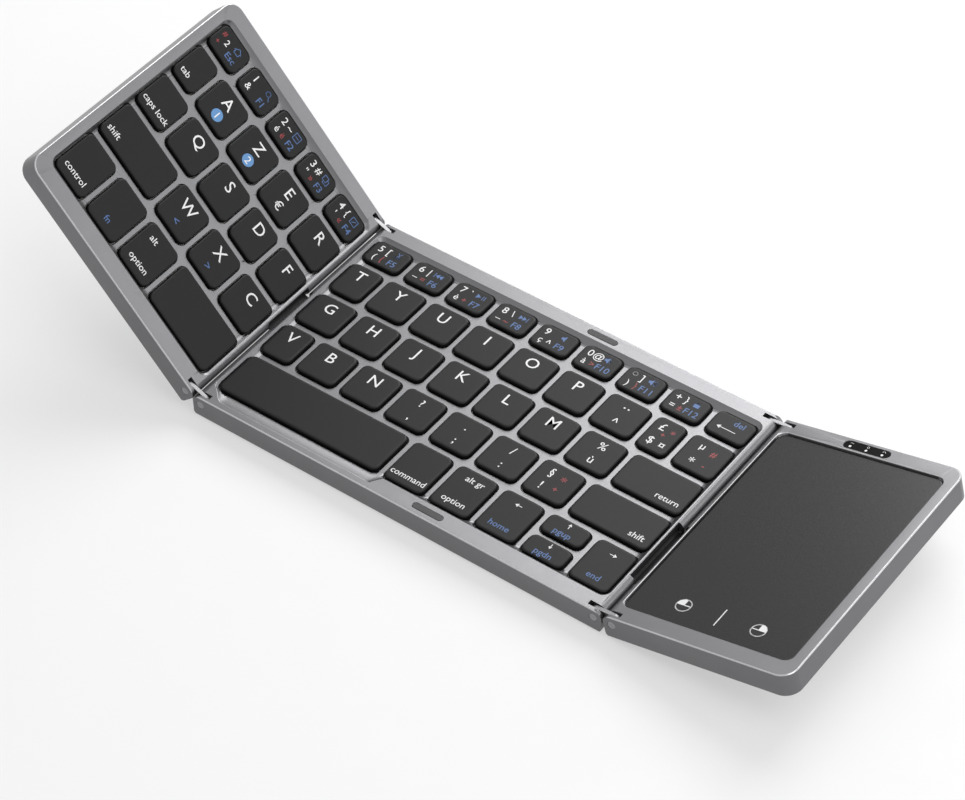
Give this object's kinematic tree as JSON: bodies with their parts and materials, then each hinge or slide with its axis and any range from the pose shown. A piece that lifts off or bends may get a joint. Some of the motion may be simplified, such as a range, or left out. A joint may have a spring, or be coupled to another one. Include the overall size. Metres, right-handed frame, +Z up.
{
  "type": "folding keyboard",
  "caption": "Pocket keyboard in three hinged panels: keys on the left wing and centre panel, a touchpad on the right wing, textured underside with rubber feet.",
  "frame": {"origin": "under the middle of the centre panel, on the surface that its feet stand on", "axes": "+X along the key rows towards the touchpad wing, +Y from the space bar to the number row, +Z up"},
  "size_m": [0.2811, 0.097, 0.0746],
  "materials": {
    "anodised_case": "fine bead-blasted space-grey anodising with bright cut edges",
    "base_plate": "plain sheet, hidden under the covering",
    "textured_covering": "dark grey grained imitation leather, satin",
    "rubber": "matt black",
    "key_deck": "plain sheet",
    "silicone": "translucent milky",
    "lever_plastic": "white moulded",
    "hinge_steel": "bright satin steel",
    "screw_steel": "plain steel",
    "touch_surface": "very fine satin dark grey",
    "battery_foil": "pouch foil",
    "circuit_board": "solder mask",
    "port_steel": "plated sheet",
    "switch_plastic": "fine texture",
    "window": "gloss black",
    "flex_film": "dark film",
    "key_plastic": "fine matt, near black skirts and dark grey tops"
  },
  "bodies": {
    "centre_panel": {"centre_case": "anodised_case", "centre_base": "base_plate", "centre_skin": "textured_covering", "centre_feet": "rubber", "centre_key_deck": "key_deck", "centre_dome_sheet": "silicone", "centre_scissors": "lever_plastic", "centre_bumpers": "rubber", "centre_hinge_pins": "hinge_steel", "centre_screws": "screw_steel", "left_flex": "flex_film", "right_flex": "flex_film"},
    "left_link": {"left_hinge_links": "hinge_steel"},
    "right_link": {"right_hinge_links": "hinge_steel"},
    "left_wing": {"left_case": "anodised_case", "left_base": "base_plate", "left_skin": "textured_covering", "left_feet": "rubber", "left_key_deck": "key_deck", "left_dome_sheet": "silicone", "left_scissors": "lever_plastic", "left_hinge_pins": "hinge_steel", "left_screws": "screw_steel"},
    "right_wing": {"right_case": "anodised_case", "right_base": "base_plate", "right_skin": "textured_covering", "right_feet": "rubber", "battery": "battery_foil", "main_board": "circuit_board", "charging_port": "port_steel", "indicator_window": "window", "right_hinge_pins": "hinge_steel", "right_screws": "screw_steel"},
    "touchpad": {"touchpad": "touch_surface"},
    "power_switch": {"power_switch": "switch_plastic"},
    "keys_numbers_left": {"keys_numbers_left": "key_plastic"},
    "keys_upper_left": {"keys_upper_left": "key_plastic"},
    "keys_home_left": {"keys_home_left": "key_plastic"},
    "keys_lower_left": {"keys_lower_left": "key_plastic"},
    "key_tab": {"key_tab": "key_plastic"},
    "key_caps_lock": {"key_caps_lock": "key_plastic"},
    "key_shift_left": {"key_shift_left": "key_plastic"},
    "key_control": {"key_control": "key_plastic"},
    "key_fn": {"key_fn": "key_plastic"},
    "key_option_left": {"key_option_left": "key_plastic"},
    "key_space_left": {"key_space_left": "key_plastic"},
    "keys_numbers_centre": {"keys_numbers_centre": "key_plastic"},
    "keys_upper_centre": {"keys_upper_centre": "key_plastic"},
    "keys_home_centre": {"keys_home_centre": "key_plastic"},
    "keys_lower_centre": {"keys_lower_centre": "key_plastic"},
    "key_backspace": {"key_backspace": "key_plastic"},
    "key_return": {"key_return": "key_plastic"},
    "key_shift_right": {"key_shift_right": "key_plastic"},
    "key_space_right": {"key_space_right": "key_plastic"},
    "key_command": {"key_command": "key_plastic"},
    "key_alt_gr": {"key_alt_gr": "key_plastic"},
    "key_arrow_left": {"key_arrow_left": "key_plastic"},
    "key_arrow_up": {"key_arrow_up": "key_plastic"},
    "key_arrow_down": {"key_arrow_down": "key_plastic"},
    "key_arrow_right": {"key_arrow_right": "key_plastic"}
  },
  "joints": [
    {"name": "left_link_fold", "type": "hinge", "parent": "centre_panel", "child": "left_link", "pos_m": [-0.07375, 0, 0.0056], "axis": [0, 1, 0], "range_deg": [-24.35, 65.65], "deforming": ["left_flex"]},
    {"name": "left_wing_fold", "type": "hinge", "parent": "left_link", "child": "left_wing", "pos_m": [-0.07967, 0, 0.00828], "axis": [0, 1, 0], "range_deg": [-24.35, 65.65], "deforming": ["left_flex"]},
    {"name": "right_link_fold", "type": "hinge", "parent": "centre_panel", "child": "right_link", "pos_m": [0.07375, 0, 0.0056], "axis": [0, -1, 0], "range_deg": [-6.85, 83.15], "deforming": ["right_flex"]},
    {"name": "right_wing_fold", "type": "hinge", "parent": "right_link", "child": "right_wing", "pos_m": [0.0802, 0, 0.00638], "axis": [0, -1, 0], "range_deg": [-6.85, 83.15], "deforming": ["right_flex"]},
    {"name": "keys_numbers_left_press", "type": "slide", "parent": "left_wing", "child": "keys_numbers_left", "axis": [-0.7513, 0, -0.66], "range_m": [0, 0.0012], "stiffness_N_per_m": 400, "springref_m": -0.0005, "deforming": ["left_dome_sheet", "left_scissors"]},
    {"name": "keys_upper_left_press", "type": "slide", "parent": "left_wing", "child": "keys_upper_left", "axis": [-0.7513, 0, -0.66], "range_m": [0, 0.0012], "stiffness_N_per_m": 400, "springref_m": -0.0005, "deforming": ["left_dome_sheet", "left_scissors"]},
    {"name": "keys_home_left_press", "type": "slide", "parent": "left_wing", "child": "keys_home_left", "axis": [-0.7513, 0, -0.66], "range_m": [0, 0.0012], "stiffness_N_per_m": 400, "springref_m": -0.0005, "deforming": ["left_dome_sheet", "left_scissors"]},
    {"name": "keys_lower_left_press", "type": "slide", "parent": "left_wing", "child": "keys_lower_left", "axis": [-0.7513, 0, -0.66], "range_m": [0, 0.0012], "stiffness_N_per_m": 400, "springref_m": -0.0005, "deforming": ["left_dome_sheet", "left_scissors"]},
    {"name": "key_tab_press", "type": "slide", "parent": "left_wing", "child": "key_tab", "axis": [-0.7513, 0, -0.66], "range_m": [0, 0.0012], "stiffness_N_per_m": 400, "springref_m": -0.0005, "deforming": ["left_dome_sheet", "left_scissors"]},
    {"name": "key_caps_lock_press", "type": "slide", "parent": "left_wing", "child": "key_caps_lock", "axis": [-0.7513, 0, -0.66], "range_m": [0, 0.0012], "stiffness_N_per_m": 400, "springref_m": -0.0005, "deforming": ["left_dome_sheet", "left_scissors"]},
    {"name": "key_shift_left_press", "type": "slide", "parent": "left_wing", "child": "key_shift_left", "axis": [-0.7513, 0, -0.66], "range_m": [0, 0.0012], "stiffness_N_per_m": 400, "springref_m": -0.0005, "deforming": ["left_dome_sheet", "left_scissors"]},
    {"name": "key_control_press", "type": "slide", "parent": "left_wing", "child": "key_control", "axis": [-0.7513, 0, -0.66], "range_m": [0, 0.0012], "stiffness_N_per_m": 400, "springref_m": -0.0005, "deforming": ["left_dome_sheet", "left_scissors"]},
    {"name": "key_fn_press", "type": "slide", "parent": "left_wing", "child": "key_fn", "axis": [-0.7513, 0, -0.66], "range_m": [0, 0.0012], "stiffness_N_per_m": 400, "springref_m": -0.0005, "deforming": ["left_dome_sheet", "left_scissors"]},
    {"name": "key_option_left_press", "type": "slide", "parent": "left_wing", "child": "key_option_left", "axis": [-0.7513, 0, -0.66], "range_m": [0, 0.0012], "stiffness_N_per_m": 400, "springref_m": -0.0005, "deforming": ["left_dome_sheet", "left_scissors"]},
    {"name": "key_space_left_press", "type": "slide", "parent": "left_wing", "child": "key_space_left", "axis": [-0.7513, 0, -0.66], "range_m": [0, 0.0012], "stiffness_N_per_m": 400, "springref_m": -0.0005, "deforming": ["left_dome_sheet", "left_scissors"]},
    {"name": "keys_numbers_centre_press", "type": "slide", "parent": "centre_panel", "child": "keys_numbers_centre", "axis": [0, 0, -1], "range_m": [0, 0.0012], "stiffness_N_per_m": 400, "springref_m": -0.0005, "deforming": ["centre_dome_sheet", "centre_scissors"]},
    {"name": "keys_upper_centre_press", "type": "slide", "parent": "centre_panel", "child": "keys_upper_centre", "axis": [0, 0, -1], "range_m": [0, 0.0012], "stiffness_N_per_m": 400, "springref_m": -0.0005, "deforming": ["centre_dome_sheet", "centre_scissors"]},
    {"name": "keys_home_centre_press", "type": "slide", "parent": "centre_panel", "child": "keys_home_centre", "axis": [0, 0, -1], "range_m": [0, 0.0012], "stiffness_N_per_m": 400, "springref_m": -0.0005, "deforming": ["centre_dome_sheet", "centre_scissors"]},
    {"name": "keys_lower_centre_press", "type": "slide", "parent": "centre_panel", "child": "keys_lower_centre", "axis": [0, 0, -1], "range_m": [0, 0.0012], "stiffness_N_per_m": 400, "springref_m": -0.0005, "deforming": ["centre_dome_sheet", "centre_scissors"]},
    {"name": "key_backspace_press", "type": "slide", "parent": "centre_panel", "child": "key_backspace", "axis": [0, 0, -1], "range_m": [0, 0.0012], "stiffness_N_per_m": 400, "springref_m": -0.0005, "deforming": ["centre_dome_sheet", "centre_scissors"]},
    {"name": "key_return_press", "type": "slide", "parent": "centre_panel", "child": "key_return", "axis": [0, 0, -1], "range_m": [0, 0.0012], "stiffness_N_per_m": 400, "springref_m": -0.0005, "deforming": ["centre_dome_sheet", "centre_scissors"]},
    {"name": "key_shift_right_press", "type": "slide", "parent": "centre_panel", "child": "key_shift_right", "axis": [0, 0, -1], "range_m": [0, 0.0012], "stiffness_N_per_m": 400, "springref_m": -0.0005, "deforming": ["centre_dome_sheet", "centre_scissors"]},
    {"name": "key_space_right_press", "type": "slide", "parent": "centre_panel", "child": "key_space_right", "axis": [0, 0, -1], "range_m": [0, 0.0012], "stiffness_N_per_m": 400, "springref_m": -0.0005, "deforming": ["centre_dome_sheet", "centre_scissors"]},
    {"name": "key_command_press", "type": "slide", "parent": "centre_panel", "child": "key_command", "axis": [0, 0, -1], "range_m": [0, 0.0012], "stiffness_N_per_m": 400, "springref_m": -0.0005, "deforming": ["centre_dome_sheet", "centre_scissors"]},
    {"name": "key_alt_gr_press", "type": "slide", "parent": "centre_panel", "child": "key_alt_gr", "axis": [0, 0, -1], "range_m": [0, 0.0012], "stiffness_N_per_m": 400, "springref_m": -0.0005, "deforming": ["centre_dome_sheet", "centre_scissors"]},
    {"name": "key_arrow_left_press", "type": "slide", "parent": "centre_panel", "child": "key_arrow_left", "axis": [0, 0, -1], "range_m": [0, 0.0012], "stiffness_N_per_m": 400, "springref_m": -0.0005, "deforming": ["centre_dome_sheet", "centre_scissors"]},
    {"name": "key_arrow_up_press", "type": "slide", "parent": "centre_panel", "child": "key_arrow_up", "axis": [0, 0, -1], "range_m": [0, 0.0012], "stiffness_N_per_m": 400, "springref_m": -0.0005, "deforming": ["centre_dome_sheet", "centre_scissors"]},
    {"name": "key_arrow_down_press", "type": "slide", "parent": "centre_panel", "child": "key_arrow_down", "axis": [0, 0, -1], "range_m": [0, 0.0012], "stiffness_N_per_m": 400, "springref_m": -0.0005, "deforming": ["centre_dome_sheet", "centre_scissors"]},
    {"name": "key_arrow_right_press", "type": "slide", "parent": "centre_panel", "child": "key_arrow_right", "axis": [0, 0, -1], "range_m": [0, 0.0012], "stiffness_N_per_m": 400, "springref_m": -0.0005, "deforming": ["centre_dome_sheet", "centre_scissors"]},
    {"name": "touchpad_click", "type": "hinge", "parent": "right_wing", "child": "touchpad", "pos_m": [0.10846, 0.0428, 0.0144], "axis": [0.9715, 0, 0.2368], "range_deg": [0, 0.268], "stiffness_Nm_per_rad": 1.2, "springref_deg": -0.29},
    {"name": "power_switch_slide", "type": "slide", "parent": "right_wing", "child": "power_switch", "axis": [0.9715, 0, 0.2368], "range_m": [0, 0.0025]}
  ],
  "couplings": [
    {"joint": "left_link_fold", "follows": "left_wing_fold", "ratio": 1},
    {"joint": "right_link_fold", "follows": "right_wing_fold", "ratio": 1}
  ]
}
